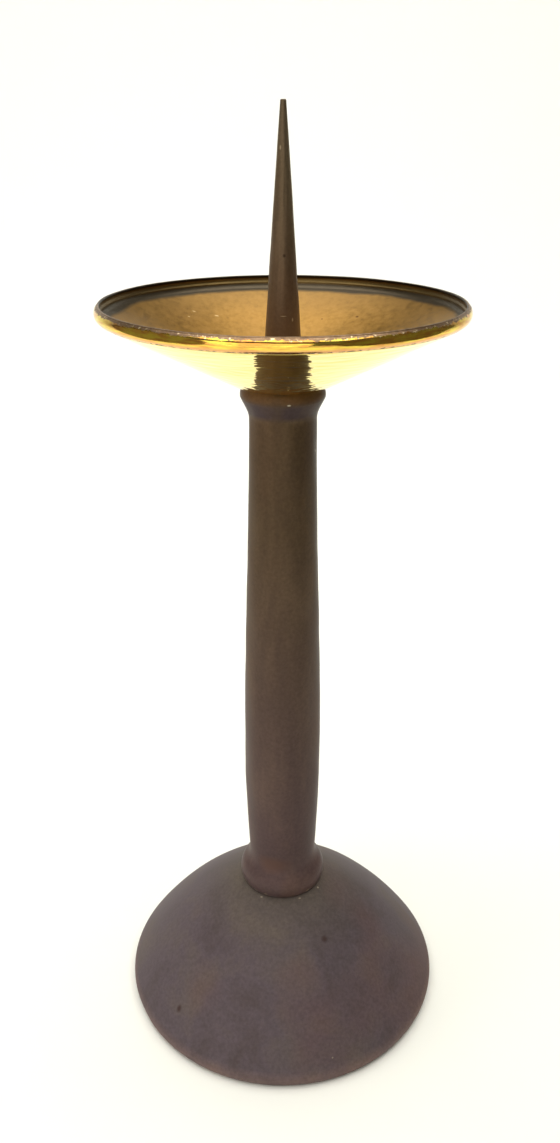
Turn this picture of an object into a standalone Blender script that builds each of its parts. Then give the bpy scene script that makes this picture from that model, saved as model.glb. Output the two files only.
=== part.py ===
"""Altar pricket candlestick: hollow domed base, tapered tube column, lift-off drip pan and spike.

Everything is turned about the Z axis. The origin is on the table, at the middle of the base.
Units are metres. A tie rod runs up the column from a nut under the dome into the spike, and
clamps dome, column and spike together. The drip pan lies loose on the column's collar.
"""
import math

import bmesh
import bpy

# Base dome: a thin shell, open underneath, with a rounded shoulder above the table edge
dome_height = 0.0700            # table to the flat crown under the column
dome_shoulder_radius = 0.0889   # where the rounded shoulder meets the long arc of the side
dome_shoulder_height = 0.0083
dome_edge_inset = 0.0014        # how far the table edge curls in from the shoulder
dome_bulge = 0.0055             # height of the side's arc over its own chord
dome_wall = 0.0016
dome_foot_land = 0.0022         # width of the flat ring that stands on the table

# Column: one tube with a beaded foot and a flared collar
foot_contact_radius = 0.0225
foot_bead_radius = 0.0240
foot_bead_height = 0.0055       # crown to the widest line of the bead
foot_bead_top = 0.0127          # crown to the end of the bead
foot_neck_radius = 0.0187
foot_neck_height = 0.0210
belly_radius = 0.0205
belly_height = 0.0800
collar_neck_radius = 0.0161
collar_flare = 0.0160           # column top down to the start of the flare
collar_radius = 0.0202
collar_roll = 0.0044            # height of the rounded top edge
collar_edge = 0.0010            # upright band between the roll and the flare
collar_flare_slope = 0.45       # dr/dz of the flare where it meets that band
collar_land_width = 0.0024       # flat rim between the top bush and the roll
column_length = 0.2897
column_wall = 0.0020
taper_end_slope = -0.0113       # radius lost per unit of height just under the collar
foot_neck_slope = 0.048
foot_socket_radius = 0.0169
foot_socket_depth = 0.0130

# Bushes that centre the tie rod in the two ends of the column
top_bush_spigot_radius = 0.0120
top_bush_spigot_length = 0.0095
top_bush_flange_width = 0.0023   # how far the flange stands out past the spigot
top_bush_flange = 0.0022
foot_bush_height = 0.0090
foot_bush_chamfer = 0.0008

# Tie rod and its fastening under the crown
rod_radius = 0.0040
rod_chamfer = 0.0008
rod_in_spike = 0.0210
rod_below_nut = 0.0040
crown_plate_radius = 0.0185
crown_plate_thickness = 0.0030
lock_washer_radius = 0.0080
lock_washer_thickness = 0.0018
nut_across_flats = 0.0130
nut_height = 0.0065
nut_chamfer = 0.0008

# Spike
spike_height = 0.1200           # column top to the blunt tip
spike_root_radius = 0.00965
spike_tip_radius = 0.0013
spike_bulge = 0.00012
spike_bore_cone = 0.0025

# Drip pan: one sheet with a flat middle, a conical floor and an upright bulged band
pan_sheet = 0.00125
pan_band_radius = 0.0825        # at the crease under the band
pan_band_height = 0.0066
pan_lip_radius = 0.0831
pan_band_bulge = 0.00175
pan_lip_round = 0.0005
pan_rise = 0.0311               # flat underside up to the crease
pan_flat_radius = 0.0205
pan_floor_angle = math.radians(27.5)
pan_corner_radius = 0.0032      # inside, between the floor and the band
pan_wall_hollow = 0.0008        # how far the band is hollowed inside
pan_hole_clearance = 0.0007     # round the spike root

seat_gap = 0.0003               # between pieces that touch
rod_clearance = 0.0003          # round the tie rod in every bore, and round the bushes
cutter_overrun = 0.0020         # how far a cutter runs past what it cuts

turn_steps = 64
column_steps = 40
small_steps = 28

# Heights of the stack, from the table up
crown_top = dome_height
column_bottom = crown_top + seat_gap
column_top = column_bottom + column_length
spike_bottom = column_top
spike_tip = spike_bottom + spike_height
pan_bottom = column_top + seat_gap
crown_under = crown_top - dome_wall
plate_top = crown_under - seat_gap
plate_bottom = plate_top - crown_plate_thickness
lock_top = plate_bottom - seat_gap
lock_bottom = lock_top - lock_washer_thickness
nut_top = lock_bottom - seat_gap
nut_bottom = nut_top - nut_height
rod_bottom = nut_bottom - rod_below_nut
rod_top = spike_bottom + rod_in_spike
rod_bore = rod_radius + rod_clearance

# Radii that follow from the top bush
top_bush_flange_radius = top_bush_spigot_radius + top_bush_flange_width
flange_seat_radius = top_bush_flange_radius + rod_clearance
collar_land_radius = flange_seat_radius + collar_land_width


def clear_scene():
    for old in list(bpy.data.objects):
        bpy.data.objects.remove(old, do_unlink=True)


def make_collection(name):
    collection = bpy.data.collections.new(name)
    bpy.context.scene.collection.children.link(collection)
    return collection


def make_material(name, color, metallic, roughness):
    material = bpy.data.materials.new(name)
    material.use_nodes = True
    shader = material.node_tree.nodes["Principled BSDF"]
    shader.inputs["Base Color"].default_value = (*color, 1.0)
    shader.inputs["Metallic"].default_value = metallic
    shader.inputs["Roughness"].default_value = roughness
    material.diffuse_color = (*color, 1.0)
    return material


def circle_points(center, radius, start, end, count):
    """Points on a circle from one angle to another, both ends included."""
    angles = [start + (end - start) * i / (count - 1) for i in range(count)]
    return [(center[0] + radius * math.cos(a), center[1] + radius * math.sin(a)) for a in angles]


def bulged_line(start, end, bulge, count):
    """Arc between two points, standing `bulge` to the left of their chord, or to the right if negative."""
    dx = end[0] - start[0]
    dz = end[1] - start[1]
    half = math.hypot(dx, dz) / 2
    side = math.copysign(1.0, bulge)
    radius = (half * half + bulge * bulge) / (2 * abs(bulge))
    normal = (-side * dz / (2 * half), side * dx / (2 * half))
    back = radius - abs(bulge)
    center = ((start[0] + end[0]) / 2 - normal[0] * back, (start[1] + end[1]) / 2 - normal[1] * back)
    first = math.atan2(start[1] - center[1], start[0] - center[0])
    sweep = -2 * side * math.asin(half / radius)
    return circle_points(center, radius, first, first + sweep, count)


def eased_line(start, start_slope, end, end_slope, count):
    """Cubic curve of radius against height, with the slope dr/dz given at both ends."""
    rise = end[1] - start[1]
    points = []
    for i in range(count):
        t = i / (count - 1)
        radius = (start[0] * (2 * t**3 - 3 * t**2 + 1)
                  + start_slope * rise * (t**3 - 2 * t**2 + t)
                  + end[0] * (3 * t**2 - 2 * t**3)
                  + end_slope * rise * (t**3 - t**2))
        points.append((radius, start[1] + rise * t))
    return points


def turned(name, profile, steps, material, collection, closed=True):
    """Turn a profile of (radius, height) about Z; a closed profile makes a ring."""
    mesh = bpy.data.meshes.new(name)
    edges = [(i, i + 1) for i in range(len(profile) - 1)]
    if closed:
        edges.append((len(profile) - 1, 0))
    mesh.from_pydata([(radius, 0, height) for radius, height in profile], edges, [])
    obj = bpy.data.objects.new(name, mesh)
    collection.objects.link(obj)
    obj.data.materials.append(material)
    screw = obj.modifiers.new("Turn", "SCREW")
    screw.axis = 'Z'
    screw.steps = steps
    screw.render_steps = steps
    screw.use_merge_vertices = True
    screw.merge_threshold = 0.00002
    screw.use_smooth_shade = True
    return obj


def dome_arcs():
    """Centres and radii of the dome's long side arc and of its shoulder arc."""
    shoulder = (dome_shoulder_radius, dome_shoulder_height)
    crown = (foot_contact_radius, crown_top)
    dx = crown[0] - shoulder[0]
    dz = crown[1] - shoulder[1]
    half = math.hypot(dx, dz) / 2
    side_radius = (half * half + dome_bulge * dome_bulge) / (2 * dome_bulge)
    outward = (dz / (2 * half), -dx / (2 * half))
    back = side_radius - dome_bulge
    side_center = ((shoulder[0] + crown[0]) / 2 - outward[0] * back,
                   (shoulder[1] + crown[1]) / 2 - outward[1] * back)
    # The shoulder arc leaves the side arc along its tangent and ends on the table edge
    normal = ((shoulder[0] - side_center[0]) / side_radius, (shoulder[1] - side_center[1]) / side_radius)
    reach = (-dome_edge_inset, -dome_shoulder_height)
    shoulder_radius = -(reach[0]**2 + reach[1]**2) / (2 * (reach[0] * normal[0] + reach[1] * normal[1]))
    shoulder_center = (shoulder[0] - shoulder_radius * normal[0], shoulder[1] - shoulder_radius * normal[1])
    return side_center, side_radius, shoulder_center, shoulder_radius, math.atan2(normal[1], normal[0])


def make_base_dome(material, collection):
    side_center, side_radius, shoulder_center, shoulder_radius, joint_angle = dome_arcs()
    edge_radius = dome_shoulder_radius - dome_edge_inset
    crown_angle = math.atan2(crown_top - side_center[1], foot_contact_radius - side_center[0])
    edge_angle = math.atan2(-shoulder_center[1], edge_radius - shoulder_center[0])
    outer = [(rod_bore, crown_top)]
    outer += circle_points(side_center, side_radius, crown_angle, joint_angle, 8)
    outer += circle_points(shoulder_center, shoulder_radius, joint_angle, 0.0, 3)[1:]
    outer += circle_points(shoulder_center, shoulder_radius, 0.0, edge_angle, 3)[1:]
    # Inside, the same two arcs lie one wall deeper, cut off by the crown and by the foot ring
    inner_side = side_radius - dome_wall
    inner_shoulder = shoulder_radius - dome_wall
    inner_crown = math.asin((crown_under - side_center[1]) / inner_side)
    inner_edge_drop = edge_radius - dome_foot_land - shoulder_center[0]
    inner_edge = -math.acos(inner_edge_drop / inner_shoulder)
    inner = [(edge_radius - dome_foot_land, 0.0)]
    inner += circle_points(shoulder_center, inner_shoulder, inner_edge, joint_angle, 4)
    inner += circle_points(side_center, inner_side, joint_angle, inner_crown, 6)[1:]
    inner.append((rod_bore, crown_under))
    return turned("base_dome", outer + inner, turn_steps, material, collection)


def make_column(material, collection):
    flare_start = column_top - collar_flare
    roll_start = column_top - collar_roll
    neck_top = column_bottom + foot_neck_height
    belly = column_bottom + belly_height
    roll_depth = collar_radius - collar_land_radius
    roll = [(collar_land_radius + roll_depth * math.sin(a), roll_start + collar_roll * math.cos(a))
            for a in (math.radians(22.5 * i) for i in range(5))]
    flare = eased_line((collar_radius, roll_start - collar_edge), collar_flare_slope,
                       (collar_neck_radius, flare_start), 0.0, 5)
    taper = eased_line((collar_neck_radius, flare_start), taper_end_slope, (belly_radius, belly), 0.0, 8)
    swell = eased_line((belly_radius, belly), 0.0, (foot_neck_radius, neck_top), foot_neck_slope, 4)
    bead_height = column_bottom + foot_bead_height
    bead_drop = foot_bead_radius - foot_contact_radius
    bead_curve = (foot_bead_height**2 + bead_drop**2) / (2 * bead_drop)
    bead_center = (foot_bead_radius - bead_curve, bead_height)
    bead_start = math.asin((foot_bead_top - foot_bead_height) / bead_curve)
    bead_end = -math.asin(foot_bead_height / bead_curve)
    bead = circle_points(bead_center, bead_curve, bead_start, bead_end, 7)
    hollow = eased_line((foot_neck_radius, neck_top), 0.0, bead[0], -math.tan(bead_start), 4)
    outer = roll + flare + taper[1:] + swell[1:] + hollow[1:-1] + bead
    # Inside: a socket for the foot bush, a bore one wall deeper than the outside, and the top seat
    inner = [(foot_socket_radius, column_bottom), (foot_socket_radius, column_bottom + foot_socket_depth)]
    inner += [(radius - column_wall, height) for radius, height in swell[::-1] + taper[::-1][1:]]
    spigot_hole = top_bush_spigot_radius + rod_clearance
    seat_height = column_top - top_bush_flange - 2 * seat_gap
    spigot_bottom = seat_height - top_bush_spigot_length
    inner += [(spigot_hole, spigot_bottom), (spigot_hole, seat_height),
              (flange_seat_radius, seat_height), (flange_seat_radius, column_top)]
    return turned("column", outer + inner, column_steps, material, collection)


def make_top_bush(material, collection):
    flange_top = column_top - seat_gap
    flange_under = flange_top - top_bush_flange
    spigot_end = flange_under - top_bush_spigot_length
    profile = [(rod_bore, flange_top), (top_bush_flange_radius, flange_top),
               (top_bush_flange_radius, flange_under), (top_bush_spigot_radius, flange_under),
               (top_bush_spigot_radius, spigot_end), (rod_bore, spigot_end)]
    return turned("top_bush", profile, small_steps, material, collection)


def make_foot_bush(material, collection):
    radius = foot_socket_radius - rod_clearance
    bottom = crown_top + seat_gap
    top = bottom + foot_bush_height
    profile = [(rod_bore, top), (radius - foot_bush_chamfer, top), (radius, top - foot_bush_chamfer),
               (radius, bottom), (rod_bore, bottom)]
    return turned("foot_bush", profile, small_steps, material, collection)


def make_tie_rod(material, collection):
    profile = [(0, rod_top), (rod_radius - rod_chamfer, rod_top), (rod_radius, rod_top - rod_chamfer),
               (rod_radius, rod_bottom + rod_chamfer), (rod_radius - rod_chamfer, rod_bottom), (0, rod_bottom)]
    return turned("tie_rod", profile, small_steps, material, collection, closed=False)


def make_ring(name, inner, outer, bottom, top, material, collection):
    profile = [(inner, top), (outer, top), (outer, bottom), (inner, bottom)]
    return turned(name, profile, small_steps, material, collection)


def make_hex_nut(material, collection, cutters):
    corner = nut_across_flats / (2 * math.cos(math.radians(30)))
    mesh = bpy.data.meshes.new("hex_nut")
    bm = bmesh.new()
    bmesh.ops.create_cone(bm, cap_ends=True, segments=6, radius1=corner, radius2=corner, depth=nut_height)
    bm.to_mesh(mesh)
    bm.free()
    nut = bpy.data.objects.new("hex_nut", mesh)
    collection.objects.link(nut)
    nut.location.z = (nut_top + nut_bottom) / 2
    nut.data.materials.append(material)
    # The chamfer takes the corners off both ends, as on a pressed nut
    end_radius = corner - nut_chamfer
    blank_profile = [(0, nut_top), (end_radius, nut_top), (corner + nut_chamfer, nut_top - nut_chamfer),
                     (corner + nut_chamfer, nut_bottom + nut_chamfer), (end_radius, nut_bottom), (0, nut_bottom)]
    blank = turned("nut_chamfer_cutter", blank_profile, small_steps, material, cutters, closed=False)
    bore_top = nut_top + cutter_overrun
    bore_bottom = nut_bottom - cutter_overrun
    bore_profile = [(0, bore_top), (rod_bore, bore_top), (rod_bore, bore_bottom), (0, bore_bottom)]
    bore = turned("nut_bore_cutter", bore_profile, small_steps, material, cutters, closed=False)
    for cutter, operation in ((blank, 'INTERSECT'), (bore, 'DIFFERENCE')):
        cutter.hide_render = True
        cutter.display_type = 'WIRE'
        boolean = nut.modifiers.new(cutter.name, 'BOOLEAN')
        boolean.operation = operation
        boolean.solver = 'EXACT'
        boolean.object = cutter
    return nut


def make_spike(material, collection):
    bore_top = rod_top + seat_gap
    tip_round = spike_tip_radius * 0.4
    tip_center = (spike_tip_radius - tip_round, spike_tip - tip_round)
    tip = circle_points(tip_center, tip_round, math.radians(90), math.radians(4), 4)
    side = bulged_line(tip[-1], (spike_root_radius, spike_bottom), spike_bulge, 8)
    profile = [(0, spike_tip)] + tip + side[1:]
    profile += [(rod_bore, spike_bottom), (rod_bore, bore_top), (0, bore_top + spike_bore_cone)]
    return turned("pricket_spike", profile, small_steps, material, collection, closed=False)


def make_drip_pan(material, collection):
    hole = spike_root_radius + pan_hole_clearance
    crease = (pan_band_radius, pan_rise)
    lip_top = pan_rise + pan_band_height
    slope = math.tan(pan_floor_angle)
    lip = circle_points((pan_lip_radius - pan_lip_round, lip_top - pan_lip_round), pan_lip_round,
                        math.radians(90), math.radians(0), 3)
    band = bulged_line(lip[-1], crease, pan_band_bulge, 6)
    # The cone of the underside rolls into the flat middle over an arc tangent to both
    cone_foot = pan_band_radius - pan_rise / slope
    roll_reach = cone_foot - pan_flat_radius
    cone_low = (cone_foot + roll_reach * math.cos(pan_floor_angle), roll_reach * math.sin(pan_floor_angle))
    roll_bulge = roll_reach * math.tan(pan_floor_angle / 4) * math.cos(pan_floor_angle / 2)
    under_roll = bulged_line(cone_low, (pan_flat_radius, 0.0), roll_bulge, 3)
    outer = lip + band[1:] + under_roll
    # The upper face lies one sheet higher, and turns up into the band over the inside corner
    lift = pan_sheet / math.cos(pan_floor_angle)
    wall_radius = pan_lip_radius - pan_sheet
    floor_at_wall = pan_rise - (pan_band_radius - wall_radius) * slope + lift
    corner_reach = pan_corner_radius * math.tan((math.pi / 2 - pan_floor_angle) / 2)
    corner_center = (wall_radius - pan_corner_radius, floor_at_wall + corner_reach)
    corner = circle_points(corner_center, pan_corner_radius, pan_floor_angle - math.pi / 2, 0.0, 4)
    inner_lip = circle_points((wall_radius + pan_lip_round, lip_top - pan_lip_round), pan_lip_round,
                              math.radians(180), math.radians(90), 3)
    wall = bulged_line(corner[-1], inner_lip[0], -pan_wall_hollow, 4)
    top_roll = [(radius, height + pan_sheet) for radius, height in under_roll[::-1]]
    top_roll[-1] = (cone_low[0], cone_low[1] + lift)
    inner = [(hole, 0.0), (hole, pan_sheet)] + top_roll + corner + wall[1:-1] + inner_lip
    return turned("drip_pan", outer + inner, turn_steps, material, collection)


def main():
    clear_scene()
    parts = make_collection("altar_candlestick")
    cutters = make_collection("cutters")
    patina = make_material("bronze_patina", (0.075, 0.052, 0.036), 0.9, 0.45)
    dark_patina = make_material("dark_bronze_patina", (0.060, 0.045, 0.030), 0.9, 0.42)
    pan_brass = make_material("pan_brass", (0.52, 0.36, 0.14), 1.0, 0.22)
    turned_brass = make_material("turned_brass", (0.45, 0.33, 0.15), 1.0, 0.35)
    steel = make_material("plated_steel", (0.40, 0.40, 0.41), 1.0, 0.35)

    stand = bpy.data.objects.new("stand", None)
    parts.objects.link(stand)
    pan_carrier = bpy.data.objects.new("pan_carrier", None)
    parts.objects.link(pan_carrier)
    pan_carrier.location.z = pan_bottom

    fixed = [make_base_dome(patina, parts),
             make_column(dark_patina, parts),
             make_top_bush(turned_brass, parts),
             make_foot_bush(turned_brass, parts),
             make_tie_rod(steel, parts),
             make_ring("crown_plate", rod_bore, crown_plate_radius, plate_bottom, plate_top, steel, parts),
             make_ring("lock_washer", rod_bore, lock_washer_radius, lock_bottom, lock_top, steel, parts),
             make_hex_nut(steel, parts, cutters),
             make_spike(dark_patina, parts)]
    for obj in fixed:
        obj.parent = stand
    pan = make_drip_pan(pan_brass, parts)
    pan.parent = pan_carrier


main()
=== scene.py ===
import math

import bmesh
import bpy
import numpy as np
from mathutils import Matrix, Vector


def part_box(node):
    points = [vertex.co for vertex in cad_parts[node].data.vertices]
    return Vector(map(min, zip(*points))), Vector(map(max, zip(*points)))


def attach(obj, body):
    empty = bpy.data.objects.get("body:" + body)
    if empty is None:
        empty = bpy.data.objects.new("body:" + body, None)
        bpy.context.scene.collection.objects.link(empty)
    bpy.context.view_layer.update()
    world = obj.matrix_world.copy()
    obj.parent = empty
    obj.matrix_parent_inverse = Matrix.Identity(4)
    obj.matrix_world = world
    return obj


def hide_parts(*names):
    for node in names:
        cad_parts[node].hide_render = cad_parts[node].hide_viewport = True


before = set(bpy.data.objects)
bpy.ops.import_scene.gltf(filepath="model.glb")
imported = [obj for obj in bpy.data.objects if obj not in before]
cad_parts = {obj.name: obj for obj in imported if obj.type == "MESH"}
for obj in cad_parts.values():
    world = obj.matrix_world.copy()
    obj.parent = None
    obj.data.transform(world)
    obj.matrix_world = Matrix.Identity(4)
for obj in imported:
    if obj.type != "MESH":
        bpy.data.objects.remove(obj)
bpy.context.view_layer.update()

# Altar pricket candlestick: browned bronze stand and spike, loose spun brass drip pan.
# Everything is turned about the Z axis; lengths are metres.

mm = 0.001
tiny = 1e-7    # closer than this, two points are one
scene = bpy.context.scene
scene.view_settings.view_transform = "Standard"


def circlePoints(centre, radius, start, end, count):
    # radius and height along a circle, from one angle to another
    angle = np.linspace(start, end, count)
    return np.stack([centre[0] + radius * np.cos(angle), centre[1] + radius * np.sin(angle)], axis=1)


def straightPoints(start, end, count):
    # even steps along a straight line
    share = np.linspace(0.0, 1.0, count)[:, None]
    return np.array(start) * (1 - share) + np.array(end) * share


def bulgedPoints(start, end, bulge, count):
    # circle through both ends whose middle stands bulge to the left of the chord
    start = np.array(start)
    end = np.array(end)
    half = np.linalg.norm(end - start) / 2
    side = math.copysign(1.0, bulge)
    radius = (half ** 2 + bulge ** 2) / (2 * abs(bulge))
    normal = side * np.array([start[1] - end[1], end[0] - start[0]]) / (2 * half)
    centre = (start + end) / 2 - normal * (radius - abs(bulge))
    first = math.atan2(start[1] - centre[1], start[0] - centre[0])
    return circlePoints(centre, radius, first, first - 2 * side * math.asin(half / radius), count)


def easedPoints(start, startSlope, end, endSlope, count):
    # radius is a cubic of height, with its slope dr/dz given at both ends
    share = np.linspace(0.0, 1.0, count)
    rise = end[1] - start[1]
    radius = (start[0] * (2 * share ** 3 - 3 * share ** 2 + 1)
              + startSlope * rise * (share ** 3 - 2 * share ** 2 + share)
              + end[0] * (3 * share ** 2 - 2 * share ** 3)
              + endSlope * rise * (share ** 3 - share ** 2))
    return np.stack([radius, start[1] + rise * share], axis=1)


def joinRuns(*runs):
    # one profile from runs that share their end points
    points = np.vstack([np.atleast_2d(run) for run in runs])
    step = np.linalg.norm(np.diff(points, axis=0), axis=1)
    return points[np.concatenate([[True], step > tiny])]


def handRipple(angle, profile, waveLength, depth, seed, count=20, meanRadius=50 * mm):
    # sum of cosines over angle and profile length; each goes a whole number of times round
    length = np.concatenate([[0.0], np.cumsum(np.linalg.norm(np.diff(profile, axis=0), axis=1))])
    rng = np.random.default_rng(seed)
    heading = rng.uniform(0, 2 * np.pi, count)
    pace = 2 * np.pi / (waveLength * rng.uniform(0.7, 1.6, count))
    roundWaves = np.rint(pace * np.cos(heading) * meanRadius)
    lengthWaves = pace * np.sin(heading)
    phase = rng.uniform(0, 2 * np.pi, count)
    waves = np.cos(angle[:, None, None] * roundWaves + length[None, :, None] * lengthWaves + phase)
    return depth * waves.sum(axis=2) / math.sqrt(count / 2)


def knocks(angle, profile, dents):
    # each dent is a bell-shaped hollow: depth times exp(-(distance / size) squared)
    total = np.zeros((len(angle), len(profile)))
    for degrees, height, size, depth in dents:
        turn = np.angle(np.exp(1j * (angle - math.radians(degrees - 90))))
        around = turn[:, None] * profile[None, :, 0]
        total -= depth * np.exp(-(around ** 2 + (profile[None, :, 1] - height) ** 2) / size ** 2)
    return total


def fadeIn(values, start, length):
    # 0 before start, 1 after start + length
    return np.clip((values - start) / length, 0, 1)


def gridPiece(name, points, ring=True, section=True, sharp=32, cap=True):
    # quads between neighbours of a grid of points; ring closes it round the axis, section closes
    # the profile; with cap, open ends are filled and points on the axis become one
    steps, count = points.shape[:2]
    index = np.arange(steps * count).reshape(steps, count)
    nextTurn = np.roll(index, -1, axis=0)
    low = np.roll(index, -1, axis=1)
    lowNext = np.roll(nextTurn, -1, axis=1)
    rows = slice(None) if ring else slice(0, steps - 1)
    cols = slice(None) if section else slice(0, count - 1)
    quads = np.stack([index, low, lowNext, nextTurn], axis=2)[rows, cols].reshape(-1, 4)
    mesh = bpy.data.meshes.new(name)
    mesh.vertices.add(steps * count)
    mesh.vertices.foreach_set("co", points.reshape(-1).astype(np.float32))
    mesh.loops.add(quads.size)
    mesh.loops.foreach_set("vertex_index", quads.reshape(-1).astype(np.int32))
    mesh.polygons.add(len(quads))
    mesh.polygons.foreach_set("loop_start", np.arange(0, quads.size, 4, dtype=np.int32))
    mesh.update(calc_edges=True)
    if cap and not (ring and section):
        work = bmesh.new()
        work.from_mesh(mesh)
        onAxis = [vert for vert in work.verts if vert.co.xy.length < tiny]
        bmesh.ops.remove_doubles(work, verts=onAxis, dist=10 * tiny)
        bmesh.ops.holes_fill(work, edges=[edge for edge in work.edges if edge.is_boundary])
        bmesh.ops.recalc_face_normals(work, faces=work.faces)
        work.to_mesh(mesh)
        work.free()
    mesh.shade_smooth()
    mesh.set_sharp_from_angle(angle=math.radians(sharp))
    mesh.validate()
    piece = bpy.data.objects.new(name, mesh)
    scene.collection.objects.link(piece)
    return piece


def turnedPiece(name, profile, steps, push=None, section=True, sharp=32):
    # x = r cos a, y = r sin a, z = h for every profile point (r, h) and angle a;
    # push moves each point along the profile's own outward normal
    angle = np.linspace(0, 2 * np.pi, steps, endpoint=False)
    radius = np.repeat(profile[None, :, 0], steps, axis=0)
    height = np.repeat(profile[None, :, 1], steps, axis=0)
    if push is not None:
        along = np.gradient(profile, axis=0)
        along /= np.linalg.norm(along, axis=1, keepdims=True) + 1e-12
        amount = push(angle, profile)
        radius = radius - amount * along[None, :, 1]
        height = height + amount * along[None, :, 0]
    points = np.stack([radius * np.cos(angle)[:, None], radius * np.sin(angle)[:, None], height], axis=2)
    return gridPiece(name, points, True, section, sharp)


def standIn(piece, material, node, body):
    piece.data.materials.append(material)
    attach(piece, body)
    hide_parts(node)


def linearColour(hexText):
    # sRGB hex to linear RGBA
    values = np.array([int(hexText[i:i + 2], 16) for i in (1, 3, 5)]) / 255
    linear = np.where(values <= 0.04045, values / 12.92, ((values + 0.055) / 1.055) ** 2.4)
    return (*[float(value) for value in linear], 1.0)


def addNode(tree, kind, values=None, out=0, ramp=None, **settings):
    # one node with its settings and links: a value is a constant, a hex colour, or a socket
    node = tree.nodes.new(kind)
    for key, setting in settings.items():
        setattr(node, key, setting)
    for key, value in (values or {}).items():
        if isinstance(value, bpy.types.NodeSocket):
            tree.links.new(value, node.inputs[key])
        else:
            node.inputs[key].default_value = linearColour(value) if isinstance(value, str) else value
    if ramp:
        elements = node.color_ramp.elements
        elements.remove(elements[1])
        elements[0].position = ramp[0][0]
        elements[0].color = linearColour(ramp[0][1])
        for place, colour in ramp[1:]:
            elements.new(place).color = linearColour(colour)
    return node.outputs[out] if len(node.outputs) else None


def newMaterial(name):
    material = bpy.data.materials.new(name)
    material.use_nodes = True
    tree = material.node_tree
    tree.nodes.clear()
    return material, tree, addNode(tree, "ShaderNodeTexCoord", out="Object")


def axisFields(tree, where):
    # the vector from the axis, its length, and the height
    flat = addNode(tree, "ShaderNodeVectorMath", {0: where, 1: (1, 1, 0)}, operation="MULTIPLY")
    away = addNode(tree, "ShaderNodeVectorMath", {0: flat}, out="Value", operation="LENGTH")
    return flat, away, addNode(tree, "ShaderNodeSeparateXYZ", {0: where}, out=2)


def spotMask(tree, where, spots):
    # 1 inside any of a few small ellipsoids, each given in millimetres as the radius, height and
    # degrees of its place on the side, and then its three half sizes
    total = None
    for radius, height, degrees, *halfSize in spots:
        centre = onSide(radius * mm, height * mm, degrees)
        away = addNode(tree, "ShaderNodeVectorMath", {0: where, 1: centre}, operation="SUBTRACT")
        scaled = addNode(tree, "ShaderNodeVectorMath", {0: away, 1: [half * mm for half in halfSize]},
                         operation="DIVIDE")
        reach = addNode(tree, "ShaderNodeVectorMath", {0: scaled}, out="Value", operation="LENGTH")
        inside = addNode(tree, "ShaderNodeMapRange", {0: reach, 1: 1.3, 2: 0.5})
        total = inside if total is None else addNode(tree, "ShaderNodeMath", {0: total, 1: inside},
                                                     operation="MAXIMUM")
    return total


def coated(tree, colour, coats):
    # coats laid over a colour one after another, each showing as far as its mask lets it
    for mask, tint in coats:
        colour = addNode(tree, "ShaderNodeMix", {0: mask, 6: colour, 7: tint}, out=2, data_type="RGBA")
    return colour


def spotCoats(tree, where, look):
    return [(spotMask(tree, where, spots), tint) for spots, tint in look["spots"]]


def heightBand(tree, height, low, high, soft, amount):
    # amount between two heights, fading to 0 over soft on both sides
    rising = addNode(tree, "ShaderNodeMapRange", {0: height, 1: low - soft, 2: low, 4: amount})
    falling = addNode(tree, "ShaderNodeMapRange", {0: height, 1: high, 2: high + soft, 3: 1.0, 4: 0.0})
    return addNode(tree, "ShaderNodeMath", {0: rising, 1: falling}, operation="MULTIPLY")


def onSide(radius, height, degrees):
    # point on a turned side; 0 degrees faces the camera (-Y) and positive goes to +X
    turn = math.radians(degrees)
    return (radius * math.sin(turn), -radius * math.cos(turn), height)


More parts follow.
